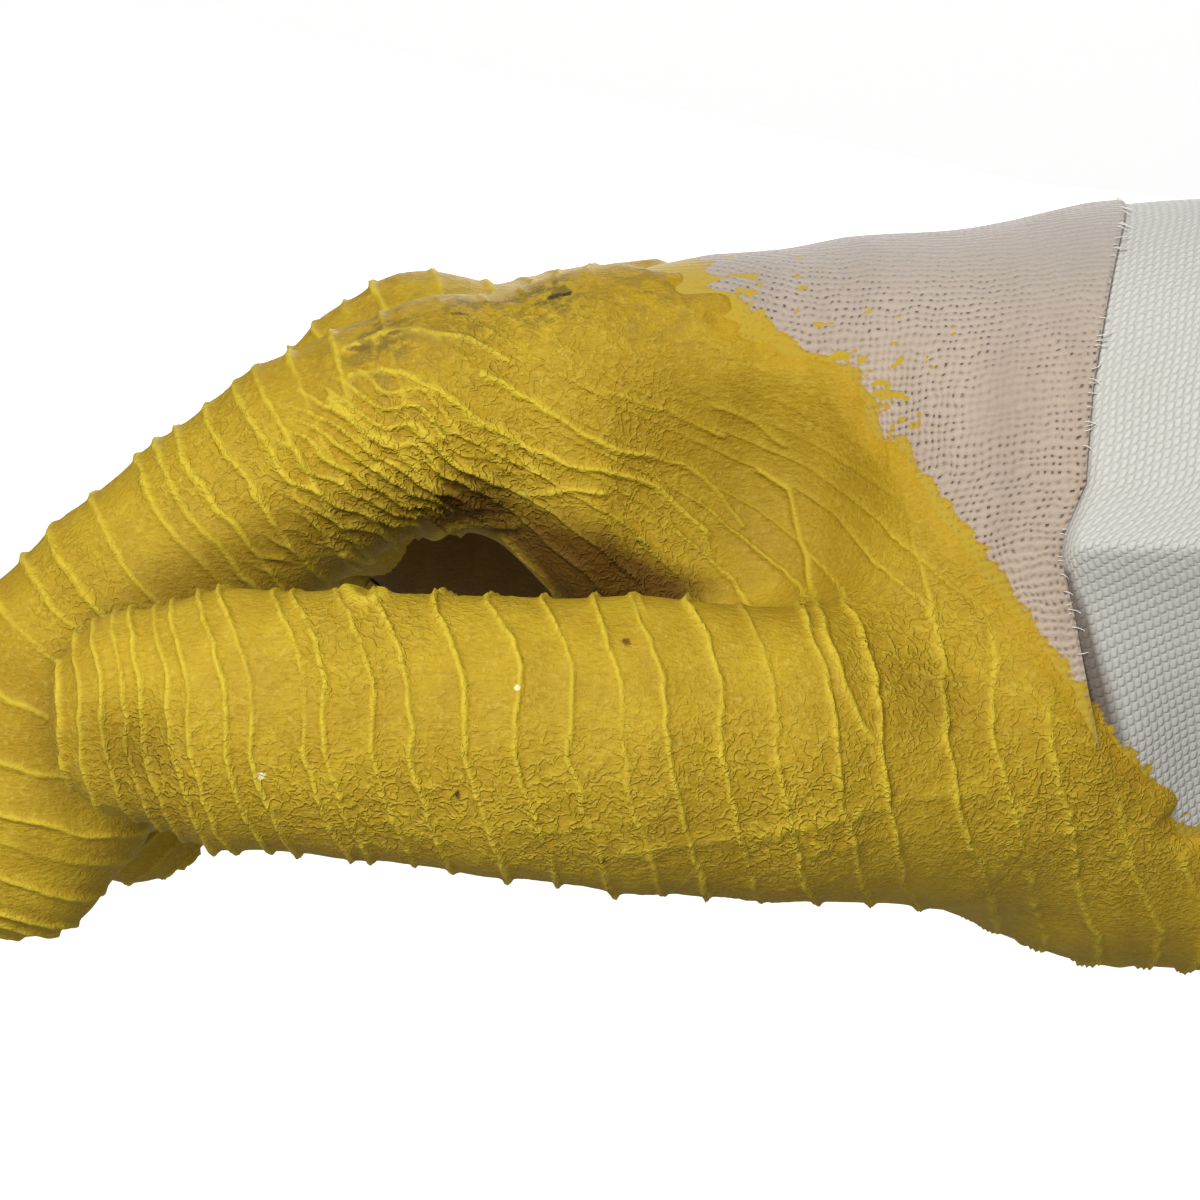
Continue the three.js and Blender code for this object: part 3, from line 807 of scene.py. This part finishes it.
def threads(name, paths, thickness):
    """Short threads: round each point of each path a ring of five points at the thread's half
    thickness, square to the path, and both ends drawn to a point."""
    count, length = paths.shape[:2]
    way = np.gradient(paths, axis=1)
    way /= np.linalg.norm(way, axis=-1, keepdims=True)
    side = np.cross(way, (0.3, 0.5, 0.81))
    side /= np.linalg.norm(side, axis=-1, keepdims=True)
    over = np.cross(way, side)
    turn = 2 * np.pi * np.arange(5)[:, None] / 5
    ring = np.cos(turn) * side[:, :, None] + np.sin(turn) * over[:, :, None]
    tubes = (paths[:, :, None] + ring * thickness / 2).reshape(count, -1, 3)
    tips = np.stack([paths[:, 0] - way[:, 0] * 0.05, paths[:, -1] + way[:, -1] * 0.05], 1)
    points = np.concatenate([tubes, tips], 1).reshape(-1, 3)
    first = np.arange(length * 5).reshape(length, 5)
    after = np.roll(first, -1, 1)
    squares = np.stack([first[:-1], after[:-1], after[1:], first[1:]], -1).reshape(-1, 4)
    start = np.stack([after[0], first[0], np.full(5, length * 5)], -1)
    end = np.stack([first[-1], after[-1], np.full(5, length * 5 + 1)], -1)
    shift = np.arange(count)[:, None, None] * (length * 5 + 2)
    faces = (squares + shift).reshape(-1, 4).tolist()
    faces += (np.concatenate([start, end]) + shift).reshape(-1, 3).tolist()
    mesh = bpy.data.meshes.new(name)
    mesh.from_pydata((points * 0.001).tolist(), [], faces)
    mesh.polygons.foreach_set("use_smooth", np.ones(len(faces), bool))
    return placed(name, mesh)


# cotton sewing thread: off-white, twisted, a little hairy
sewing_thread, shader, add = new_material("cotton sewing thread")
place = add("TexCoord", out="Object")
strand = add("TexNoise", place, None, 900, 2, 0.6)
twine = add("MixRGB", strand, linear("#B9B2A6"), linear("#E4E0D8"))
ply = add("Bump", Height=add("TexNoise", place, None, 5000), Distance=0.0001)
set_up(shader, twine, Normal=ply, Roughness=0.85, Sheen_Weight=0.3)

# Frayed ends of the jersey, which stand out over the canvas all along the seam.
rng = np.random.default_rng(17)
column = rng.choice(np.flatnonzero(seam_dipped < -1), 60)
edge_place = seam_edge[column] + seam_out[column] * 0.1
slant = rng.uniform(-0.8, 0.8, (60, 1))
long = rng.uniform(0.4, 1.9, (60, 1))
lifted = rng.uniform(-0.1, 0.5, (60, 1))
sideways = np.cross(seam_out[column], (1, 0, 0))
steps = np.linspace(0, 1, 5)[None, :, None]
forward = np.array([1.0, 0, 0]) * long[:, None] * steps
paths = edge_place[:, None] - np.array([0.5, 0, 0]) + forward
paths = paths + sideways[:, None] * slant[:, None] * steps * steps * long[:, None]
paths = paths + seam_out[column][:, None] * (lifted[:, None] * steps - 0.6 * steps * steps)
frayed_ends = threads("frayed_ends", paths, 0.13)
frayed_ends.data.materials.append(sewing_thread)
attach(frayed_ends, "root")
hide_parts("jersey_liner")

# The hem's row of stitches, 7 mm back from the mouth, each dipping into the canvas at its ends.
hem_rows = np.array([(MOUTH_AT - 7, MOUTH_LEAN, CUFF_TOP - 0.6)])
hem, hem_out = cuff_skin(hem_rows, 0, 960)
hem = hem[0] + 0.5 * drape(hem[0])[..., None] * hem_out[0]
pick = (np.arange(96)[:, None] * 10 + np.arange(7)[None, :]) % 960
dip = 0.16 - 0.4 * (np.linspace(-1, 1, 7) ** 4)
hem_stitches = threads("hem_stitches", hem[pick] + hem_out[0][pick] * dip[None, :, None], 0.55)
hem_stitches.data.materials.append(sewing_thread)
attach(hem_stitches, "root")
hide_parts("canvas_cuff")

# The rubber coating. Yellow natural rubber that the glove is dipped in while it is on its form.
# The skin shrinks as it cures and throws up thin crests round the digits and across the hand,
# with fine worm-like crinkles between them, and its edge soaks raggedly into the knit.

# How far the crests on the thumb's side swing along X at each height: z, swing in millimetres.
SWING = [
    (-40, 9), (-30, 4.8), (-20, 1.6), (-12, 0), (-4, 0), (0, -1.2), (3, -3), (6, -6.5), (11, -12),
    (16, -20), (21, -30), (28, -44), (38, -62), (50, -80),
]  # fmt: skip
# Crests across the thumb, by their place along X at its middle height.
THUMB_CRESTS = [
    -200, -195.5, -191.5, -188.6, -185.8, -183, -180.2, -177.4, -175.2, -172, -169.8, -165.7,
    -162.8, -156.9, -154.6, -149.3, -145.1, -138.9, -133.2, -127.3, -121.6, -116.8, -110.9,
    -105, -98.2, -92.9, -84.7, -79, -72.5, -66, -60.5, -53, -46, -40, -33,
]  # fmt: skip
# Long crests and lips on the near side of the hand: height, width, then x and z by turns.
LONG_CRESTS = [
    (1.0, 0.6, -146.3, 21.5, -141.5, 17.8, -136.7, 14.8, -132.4, 13.2, -127.7, 14.3, -123.4, 13.7),
    (1.0, 0.6, -142, 24.8, -132.4, 19, -127.9, 17.1, -123.4, 16.5, -117.3, 14.4, -111.2, 8.3),
    (0.9, 0.6, -137.6, 27.7, -129.4, 22.9, -124.6, 20.2, -121.3, 18.6, -117.3, 17.8),
    (0.7, 0.5, -131.8, 24.8, -122, 18.6, -114.1, 16.9, -108.9, 12.5, -106.8, 9.2),
    (0.6, 0.5, -123.1, 25.9, -116.2, 23.5, -112.8, 21.8, -109.3, 20),
    (0.5, 0.5, -110.1, 23.8, -105.9, 21.7, -102.1, 18.8),
    (0.9, 0.6, -104.8, 15.7, -101.4, 13.7, -99.5, 5.6, -98.4, -0.7, -95.9, -6.9, -93.4, -11.7),
    (0.5, 0.5, -123.1, 10.7, -121.6, 8.6, -120.7, 5.8, -119.2, 2.9),
    (0.5, 0.5, -116.1, 12.5, -113.3, 11, -110.3, 6.2),
    (0.7, 0.6, -154.4, 30.6, -150.5, 32.1, -145.4, 33, -139.4, 31.9, -134.6, 29.2),
    (0.8, 0.7, -153.6, 27.6, -147.6, 28, -142.8, 25.8, -138.1, 21.9),
    (0.8, 0.7, -156, 24.7, -152.3, 21.9, -147.6, 18.3, -143, 14),
    (1.0, 0.7, -155, 6, -150.5, 3.5, -146.5, 5.6, -142.5, 8.3, -139, 9.1, -134, 9.6),
    (0.6, 0.5, -91.2, 20.4, -88.6, 13.9, -86.5, 5, -83.9, -6),
    (0.4, 1.1, -121.2, -23.5, -105.1, -21.8, -98.8, -20.7, -88.3, -18.5, -80.2, -18.6),
]
# Places where the skin has crumpled into close folds: x, y, z, radius, strength.
CRUMPLED = [
    (-146, -20, 18, 8, 1.0),
    (-173, -45, -15, 8, 0.8),
    (-87, -36, -5, 11, 0.7),
    (-101, -46, -21, 12, 0.8),
    (-70, -35, -20, 14, 0.7),
    (-139, -49, -18, 9, 0.6),
    (-120, -48, -18, 10, 0.6),
    (-158, -48, -18, 8, 0.6),
    (-148, -47, -20, 9, 0.8),
    (-130, -47, -20, 10, 0.8),
    (-110, -47, -14, 8, 0.6),
    (-120, -12, 4, 9, 0.6),
    (-136, -19, 14, 9, 0.9),
    (-152, -17, 10, 7, 0.7),
    (-60, -34, -28, 10, 0.7),
]


def crests(place, lines, points, seed, width):
    """Crests along lines of equal place: 0.87 exp(-d^2) + 0.13 exp(-d^2 / 9), with d the distance
    to the nearest line over the width. The place wanders by clouds of three sizes, and each crest
    swells and dies along its length."""
    place = place + 0.9 * cloud(points, 11, seed) + 0.34 * cloud(points, 3.1, seed + 1)
    place = place + 0.16 * cloud(points, 1.3, seed + 9)
    lines = np.array(lines, float)
    nearest = np.searchsorted(0.5 * (lines[1:] + lines[:-1]), place)
    away = (place - lines[nearest]) / width
    shifted = points + (nearest * 37.7)[..., None] * (0.3, 1, 0.7)
    strength = np.clip(0.8 + 0.55 * cloud(shifted, 13, seed + 2), 0.25, 1.2)
    strength = strength * (1 + 0.25 * cloud(points, 1.8, seed + 8))
    return strength * (0.87 * np.exp(-away * away) + 0.13 * np.exp(-away * away / 9))


def line_crest(points, row):
    """One long crest on the near side: its height times 0.85 exp(-(distance / 0.75 width)^2),
    with the distance to a chain of straight stretches in X and Z."""
    height, width = row[:2]
    stops = np.array(row[2:]).reshape(-1, 2)
    flat = points[..., (0, 2)]
    flat = flat + 0.35 * np.stack([cloud(points, 3, 51), cloud(points, 3, 52)], -1)
    least = np.full(flat.shape[:-1], 1e9)
    for start, end in zip(stops[:-1], stops[1:]):
        way = end - start
        share = np.clip(((flat - start) @ way) / (way @ way), 0, 1)
        gap = np.linalg.norm(flat - start - share[..., None] * way, axis=-1)
        least = np.minimum(least, gap)
    near = ease(-points[..., 1], 2, 7)
    swell = 0.8 + 0.35 * cloud(points, 6, 53)
    return near * swell * 0.85 * height * np.exp(-((least / (0.75 * width)) ** 2))


def worms(points, size, seed):
    """Worm-like crinkles: thin crests where a cloud passes through zero, 1 - |cloud| / 0.22."""
    sway = np.stack([cloud(points, size * 1.4, seed + k) for k in (5, 6, 7)], -1)
    return np.maximum(1 - np.abs(cloud(points + 0.5 * size * sway, size, seed)) / 0.22, 0)


# Where the skin has buckled into wavy folds that run down and along: x, y, z, radius, strength.
BUCKLED = [
    (-151, -20, 17, 11, 1.2),
    (-143, -21, 12, 8, 0.9),
    (-161, -20, 6, 6, 0.6),
    (-133, -19, 20, 6, 0.5),
]


def folds(points):
    """Wavy folds about 1.9 mm apart: the positive part of a cosine of the height across them,
    which wanders by clouds, squared, in patches."""
    patch = ease(near_spots(points, BUCKLED).max(-1), 0.15, 0.8)
    across = 0.5 * points[..., 0] + 0.86 * points[..., 2]
    across = across + 1.5 * cloud(points, 5, 91) + 0.35 * cloud(points, 2.1, 92)
    wave = np.maximum(np.cos(2 * np.pi * across / 1.9 + 1.2 * cloud(points, 3.5, 93)), 0) ** 2
    return patch * wave * (0.75 + 0.4 * cloud(points, 4, 94))


def crinkle(points):
    """Crinkled relief in millimetres and where it is crumpled: worms in patches, and folds."""
    patch = near_spots(points, CRUMPLED).max(-1)
    patch = np.maximum(patch, 0.4 * ease(cloud(points, 17, 61), 0.1, 0.65))
    fine = worms(points, 3.2, 62) * 0.36 + worms(points, 2.1, 63) * 0.16
    return patch * fine + folds(points), patch


def regular(first, last, spacing, seed):
    """Crest places between two ends, about a spacing apart but uneven."""
    rng = np.random.default_rng(seed)
    hops = spacing * rng.uniform(0.55, 1.5, int((last - first) / spacing * 1.6) + 2)
    places = first + np.cumsum(hops)
    return np.concatenate([[first - spacing], places[places < last + spacing * 2]])


# Marks of wear in the rubber: x, y, z, half length along X, half width, colour.
MARKS = [
    (-130, -12.4, 36.8, 2.0, 0.6, "#262218"),
    (-127.9, -12.6, 37, 1.0, 0.4, "#262218"),
    (-136, -10.4, 36.1, 3.4, 0.5, "#6E5A26"),
    (-118, -13.1, 37.4, 3.4, 0.5, "#75622A"),
    (-152.6, -15.1, 30.6, 2.2, 0.45, "#6A511B"),
    (-147.8, -15.3, 32.5, 2.8, 0.4, "#6A511B"),
    (-140.1, -13.8, 34.7, 2.8, 0.4, "#6A511B"),
    (-133.2, -49, -4.7, 0.42, 0.42, "#E6DFB4"),
    (-161.9, -48.6, -14.8, 0.7, 0.5, "#E6DFB4"),
    (-176.2, -39.4, 1.5, 0.5, 0.35, "#E6DFB4"),
    (-108, -14.5, 35.6, 2.2, 0.4, "#EFE9C8"),
    (-121, -44.8, 0, 0.7, 0.7, "#4A3208"),
    (-139.9, -49.9, -16.8, 0.6, 0.6, "#3C2A0A"),
    (-123.8, -46.4, -24.8, 0.6, 0.6, "#3C2A0A"),
]

# natural rubber latex: matt yellow, lighter on its crests, with shade painted dark brown into its
# creases and hollows, grimed on top
rubber_latex, shader, add = new_material("natural rubber latex")
place = add("TexCoord", out="Object")
crest = add("Attribute", attribute_name="crest", out="Fac")
deep = add("Attribute", attribute_name="deep", out="Fac")
thin = add("Attribute", attribute_name="thin", out="Fac")
grime = add("Attribute", attribute_name="grime", out="Fac")
broad = add("TexNoise", place, None, 28, 3, 0.5)
middle_scale = add("TexNoise", place, None, 170, 3, 0.6)
fine = add("TexNoise", place, None, 1300, 2.5, 0.65)
streak_place = add("Mapping", place, Scale=(0.3, 1, 1))
streak = add("TexNoise", streak_place, None, 2600, 1.5, 0.6)
broad = add("MapRange SMOOTHSTEP", broad, 0.3, 0.7)
yellow = add("MixRGB", broad, linear("#A2841A"), linear("#AD9121"))
blotch = add("MixRGB", 0.35, yellow, linear("#886711"))
yellow = add("MixRGB", add("MapRange SMOOTHSTEP", middle_scale, 0.35, 0.72), blotch, yellow)
powder = add("Math MULTIPLY", add("MapRange SMOOTHSTEP", fine, 0.48, 0.78), 0.4)
yellow = add("MixRGB", powder, yellow, linear("#BFAB49"))
pits = add("Math MULTIPLY", add("MapRange SMOOTHSTEP", streak, 0.52, 0.3), 0.3)
yellow = add("MixRGB", pits, yellow, linear("#7C610E"))
yellow = add("MixRGB", add("Math MULTIPLY", crest, 0.75), yellow, linear("#C6AE31"))
twist = add("TexNoise", place, None, 520, out="Color")
twisted = add("VectorMath MULTIPLY_ADD", twist, (0.002, 0.002, 0.002), place)
vein = add("Math ABSOLUTE", add("Math SUBTRACT", add("TexNoise", twisted, None, 760, 1, 0.5), 0.5))
vein = add("Math SUBTRACT", 1.0, add("MapRange SMOOTHSTEP", vein, 0.0, 0.09))
patch = add("Attribute", attribute_name="crumple", out="Fac")
vein = add("Math MULTIPLY", vein, add("Math MULTIPLY_ADD", patch, 0.85, 0.05))
yellow = add("MixRGB", add("Math MULTIPLY", vein, 0.5, use_clamp=True), yellow, linear("#C6AE31"))
# Painted shade: the 'deep' share darkens the rubber to dark brown in hollows, creases, over the
# heel and at the painted shade spots.
yellow = add("MixRGB", add("Math MULTIPLY", deep, 0.92), yellow, linear("#4A2C04"))
yellow = add("MixRGB", thin, yellow, linear("#A8800C"))
smear = add("MapRange SMOOTHSTEP", add("TexNoise", place, None, 420, 3, 0.7), 0.42, 0.62)
smear = add("Math MULTIPLY", grime, smear)
yellow = add("MixRGB", add("Math MULTIPLY", smear, 0.7), yellow, linear("#4B4028"))
ragged = add("Math MULTIPLY", add("TexNoise", place, None, 1500, 2, 0.7), 1.3)
for x, y, z, long, wide, tint in MARKS:
    at = (x * 0.001, y * 0.001, z * 0.001)
    scale = (1000 / long, 1000 / wide, 1000 / wide)
    away = add("VectorMath SUBTRACT", place, at)
    away = add("VectorMath MULTIPLY", away, scale)
    away = add("VectorMath LENGTH", away, out="Value")
    share = add("MapRange SMOOTHSTEP", add("Math ADD", away, ragged), 1.75, 1.2)
    yellow = add("MixRGB", add("Math MULTIPLY", share, 0.85), yellow, linear(tint))
grain = add("TexNoise", place, None, 2300, 1.5, 0.7)
height = add("Math MULTIPLY_ADD", fine, 0.6, add("Math MULTIPLY", vein, 1.1))
height = add("Math MULTIPLY_ADD", grain, 0.3, height)
height = add("Math MULTIPLY_ADD", streak, 0.45, height)
dimple = add("Bump", Height=height, Distance=0.00035, Strength=0.85)
gloss = add("MapRange", middle_scale, To_Min=0.55, To_Max=0.75)
set_up(shader, yellow, Normal=dimple, Roughness=gloss, Specular_IOR_Level=0.15)

# Places where shade is painted into the rubber as a darker brown: x, y, z, radius, strength.
PAINTED_SHADE_SPOTS = [
    (-177.5, -46, -14, 5, 0.55),
    (-174, -44, -19, 6, 0.3),
    (-86, -38, -7, 5, 0.35),
    (-120, -44, -26, 14, 0.15),
    (-63, -37, -20, 4, 0.3),
]
# Grime rubbed into the knuckles: x, y, z, radius, strength.
GRIMED = [
    (-130, -12, 36.8, 5, 1.3),
    (-150, -14, 31.5, 7, 0.9),
    (-140, -12, 35, 7, 0.7),
    (-118, -11, 37.5, 9, 0.5),
    (-128, 10, 37, 16, 0.5),
    (-150, 25, 34, 16, 0.5),
]
hand_line = [row for row in SPINE if row[0] < -30]
# The coating's parts: name, field, middle line, radius at the tip, the grid's step and sides, and
# along how few of its rays the surface is looked for first.
COATING_PARTS = [("hand", trunk_field, hand_line, 20, 0.38, 400, (6, 5))]
COATING_PARTS += [
    ("heel", heel_field, HEEL[::-1], 14, 0.8, 150, (4, 4)),
    ("thumb", digit_field("thumb"), THUMB, 11, 0.3, 160, (7, 5)),
    ("index", digit_field("index"), INDEX, 12, 0.34, 160, (7, 5)),
    ("middle", digit_field("middle"), MIDDLE, 12, 0.38, 88, (6, 4)),
    ("ring", digit_field("ring"), RING, 11, 0.4, 84, (6, 4)),
    ("little", digit_field("little"), LITTLE, 10, 0.4, 80, (6, 4)),
]
for name, field, path, tip_radius, step, sides, coarse in COATING_PARTS:
    line = path if name == "hand" else rooted(path)
    points, normals, run, margin, seen = skin(field, line, step, sides, 0, tip_radius, coarse)
    x, y, z = points[..., 0], points[..., 1], points[..., 2]
    near = ease(-y, -12, 4)
    own = ease(margin, 0, 4)
    if name in ("hand", "heel", "thumb"):
        upper = 1 - 0.65 * ease(z, 6, 24)
        swung = x - at_height(points, SWING) * near
        relief = crests(swung, THUMB_CRESTS, points, 71, 0.28)
        relief = 0.8 * relief * (0.35 + 0.65 * near) * upper
        apart = np.linalg.norm(np.gradient(points, axis=0), axis=-1)
        across_hand = crests(
            x + 0.12 * y, regular(-160, -30, 6.5, 5), points, 75, np.maximum(0.42, 0.8 * apart)
        )
        relief = np.maximum(relief, 0.5 * across_hand * (1 - near))
    else:
        places = regular(0, run[-1], 4.6, len(name))
        rings = crests(run[:, None] + 0 * x, places, points, 81 + len(name), 0.38)
        relief = 0.7 * rings * own
    if name in ("hand", "heel", "thumb", "index"):
        for row in LONG_CRESTS:
            relief = np.maximum(relief, line_crest(points, row))
    soft, patch = crinkle(points)
    relief = relief + soft
    rubber = dipped(points)
    film = ease(rubber, 0.3, 4.5)
    relief = relief * (0.25 + 0.75 * ease(rubber, 1, 9))
    over_canvas = ease(past_seam(points), -1.5, 1.5)
    thinned = (1.35 + 1.5 * over_canvas) * (1 - film) + 0.8 * over_canvas * film
    backing = 0.4 if name == "heel" else 0
    torn = (0.3 * cloud(points, 2.4, 97) + 0.22 * cloud(points, 1.2, 98)) * (1 - film)
    folded = creased(np.degrees(np.arctan2(z, y)), past_seam(points)) if name == "hand" else 0
    lift = 0.5 * drape(points) - 0.25 + relief - thinned - sunk(margin) - backing + torn + folded
    kept = (rubber > -1.5) & seen
    whole = kept[:-1] & kept[1:]
    whole &= np.roll(whole, -1, 1)
    # Painted shade: 'deep' is largest where the hand closes in round the surface and in the
    # hollows, set high over the whole heel, and weaker on the index.
    free = trunk_field(points + normals * 18)[0] / 18
    deep = np.maximum(hollow_depth(points) / 30, ease(1 - free, 0.5, 1.1))
    deep = deep * (0.45 if name == "index" else 1)
    deep = np.maximum(deep, 0.9 if name == "heel" else 0)
    deep = np.maximum(deep, near_spots(points, PAINTED_SHADE_SPOTS).max(-1))
    piece = cloth_grid(
        f"coating_{name}",
        points + normals * lift[..., None],
        whole,
        values={
            "crest": ease(relief, 0.12, 0.62),
            "deep": np.clip(deep, 0, 1),
            "thin": 0.35 * (1 - ease(rubber, 1, 6)),
            "grime": np.clip(near_spots(points, GRIMED).max(-1), 0, 1),
            "crumple": np.clip(patch, 0, 1),
        },
        pole=True,
    )
    piece.data.materials.append(rubber_latex)
    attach(piece, "root")
    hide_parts("latex_coating")

# The studio: a pale floor and backdrop in one sweep, soft lamps, and the camera level with the
# glove, looking at the thumb's side and slightly down.
studio_paper, shader, add = new_material("matt white paper")
glow = add("Math MULTIPLY", add("LightPath", out="Is Camera Ray"), 0.78)
set_up(shader, linear("#9A9A99"), Roughness=0.9, Specular_IOR_Level=0.1)
set_up(shader, Emission_Color=linear("#FFFFFF"), Emission_Strength=glow)

side = np.linspace(-2.5, 2.5, 3)
sweep = np.array([(-2.5, -0.12), (0.7, -0.12), (1.0, -0.09), (1.2, 0.02), (1.3, 0.2), (1.35, 2.2)])
floor_points = np.stack(
    [
        np.repeat(side, len(sweep)),
        np.tile(sweep[:, 0], len(side)),
        np.tile(sweep[:, 1], len(side)),
    ],
    -1,
)
corner = np.arange(len(side) * len(sweep)).reshape(len(side), len(sweep))
floor_faces = np.stack([corner[:-1, :-1], corner[1:, :-1], corner[1:, 1:], corner[:-1, 1:]], -1)
floor_mesh = bpy.data.meshes.new("studio_floor")
floor_mesh.from_pydata(floor_points.tolist(), [], floor_faces.reshape(-1, 4).tolist())
floor_mesh.polygons.foreach_set("use_smooth", np.ones(len(floor_mesh.polygons), bool))
studio_floor = placed("studio_floor", floor_mesh)
studio_floor.data.materials.append(studio_paper)

bpy.context.scene.view_settings.view_transform = "Standard"
world = bpy.data.worlds.new("studio light")
world.use_nodes = True
add = node_adder(world.node_tree)
brightness = add("MapRange", add("LightPath", out="Is Camera Ray"), To_Min=0.4)
set_up(world.node_tree.nodes["Background"], linear("#FFFFFF"), brightness)
bpy.context.scene.world = world


def lamp(name, place, aim, size, watts):
    """A square soft lamp at a place, turned so that its back points away from what it lights."""
    light = bpy.data.lights.new(name, "AREA")
    light.size = size
    light.energy = watts
    item = placed(name, light)
    item.location = place
    back = np.array(place, float) - aim
    pitch = np.arctan2(np.hypot(back[0], back[1]), back[2])
    item.rotation_euler = (pitch, 0, np.arctan2(back[1], back[0]) + np.pi / 2)


lamp("key", (-0.45, -0.87, 0.52), (-0.1, 0, 0), 0.4, 13.2)
lamp("fill", (0.7, -0.9, 0.5), (-0.1, 0, 0), 0.8, 2)
lamp("back", (0.1, 1.05, 0.4), (-0.1, 0, 0), 0.8, 12)

camera_data = bpy.data.cameras.new("camera")
camera_data.lens = 108.3
camera_data.sensor_width = 36
camera = placed("camera", camera_data)
camera.location = (-0.124, -0.4449, 0.06075)
camera.rotation_euler = (np.radians(82), 0, 0)
bpy.context.scene.camera = camera
